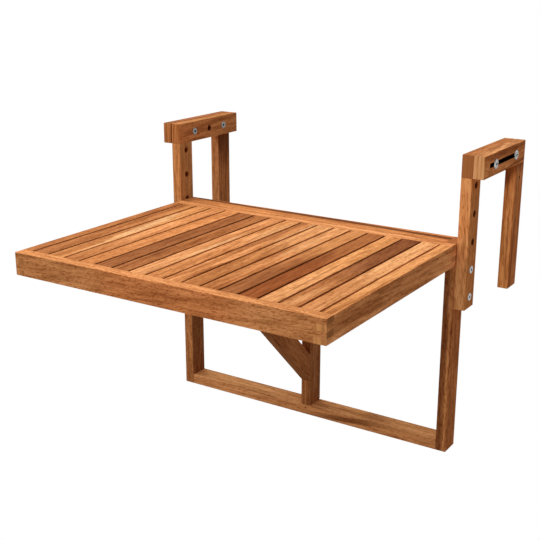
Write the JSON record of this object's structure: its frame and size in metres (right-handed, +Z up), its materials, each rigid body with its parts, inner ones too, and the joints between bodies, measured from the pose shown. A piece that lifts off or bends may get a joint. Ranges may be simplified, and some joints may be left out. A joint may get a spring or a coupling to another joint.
{
  "type": "folding balcony table",
  "caption": "Slatted wooden table that hangs on a balcony railing by two adjustable hooks, held level by a swinging triangular bracket under its hinged top.",
  "frame": {"origin": "top of the railing, midway between the two hooks and between their front and rear posts", "axes": "+X to the user's right along the railing, +Y away from the user over the railing, +Z up"},
  "size_m": [0.6862, 0.652, 0.555],
  "materials": {
    "slat_wood": "oiled, satin",
    "rim_wood": "oiled, satin",
    "under_wood": "oiled, satin",
    "frame_wood": "oiled, satin",
    "post_wood": "oiled, satin",
    "gate_wood": "oiled, satin",
    "hook_wood": "oiled, satin",
    "dowel_wood": "plain",
    "zinc_steel": "bright zinc",
    "nylon": "matte"
  },
  "bodies": {
    "frame": {"left_leg": "frame_wood", "right_leg": "frame_wood", "bottom_rail": "frame_wood", "top_rail": "frame_wood", "frame_dowels": "dowel_wood", "post_dowels": "dowel_wood", "left_front_post": "post_wood", "left_fixed_arm": "post_wood", "right_front_post": "post_wood", "right_fixed_arm": "post_wood", "leg_bolts": "zinc_steel", "leg_sleeve_nuts": "zinc_steel", "slot_bolts": "zinc_steel", "slot_sleeve_nuts": "zinc_steel", "hinge_frame_leaves": "zinc_steel", "hinge_pins": "zinc_steel", "hinge_frame_screws": "zinc_steel", "gate_washer": "nylon", "gate_bush": "nylon"},
    "top": {"slat_01": "slat_wood", "slat_02": "slat_wood", "slat_03": "slat_wood", "slat_04": "slat_wood", "slat_05": "slat_wood", "slat_06": "slat_wood", "slat_07": "slat_wood", "slat_08": "slat_wood", "slat_09": "slat_wood", "slat_10": "slat_wood", "slat_11": "slat_wood", "slat_12": "slat_wood", "slat_13": "slat_wood", "slat_14": "slat_wood", "slat_15": "slat_wood", "slat_16": "slat_wood", "front_rail": "rim_wood", "rear_rail": "rim_wood", "left_apron": "rim_wood", "right_apron": "rim_wood", "centre_batten": "under_wood", "front_ledger": "under_wood", "rear_ledger": "under_wood", "batten_dowels": "dowel_wood", "top_screws": "zinc_steel", "hinge_top_leaves": "zinc_steel", "hinge_top_screws": "zinc_steel"},
    "gate": {"gate_post": "gate_wood", "gate_brace": "gate_wood", "gate_top_bar": "gate_wood", "gate_dowels": "dowel_wood", "gate_pins": "zinc_steel"},
    "left_hook": {"left_slide_arm": "hook_wood", "left_rear_post": "hook_wood", "left_hook_dowels": "dowel_wood", "left_lock_pin": "zinc_steel"},
    "right_hook": {"right_slide_arm": "hook_wood", "right_rear_post": "hook_wood", "right_hook_dowels": "dowel_wood", "right_lock_pin": "zinc_steel"}
  },
  "joints": [
    {"name": "gate_swing", "type": "hinge", "parent": "frame", "child": "gate", "pos_m": [0, -0.08, -0.328], "axis": [0, 0, 1], "range_deg": [-90, 90]},
    {"name": "top_lift", "type": "hinge", "parent": "frame", "child": "top", "pos_m": [0, -0.101, -0.158], "axis": [-1, 0, 0], "range_deg": [0, 2.5]},
    {"name": "left_hook_slide", "type": "slide", "parent": "frame", "child": "left_hook", "axis": [0, 1, 0], "range_m": [-0.008, 0.02]},
    {"name": "right_hook_slide", "type": "slide", "parent": "frame", "child": "right_hook", "axis": [0, 1, 0], "range_m": [-0.008, 0.02]}
  ]
}
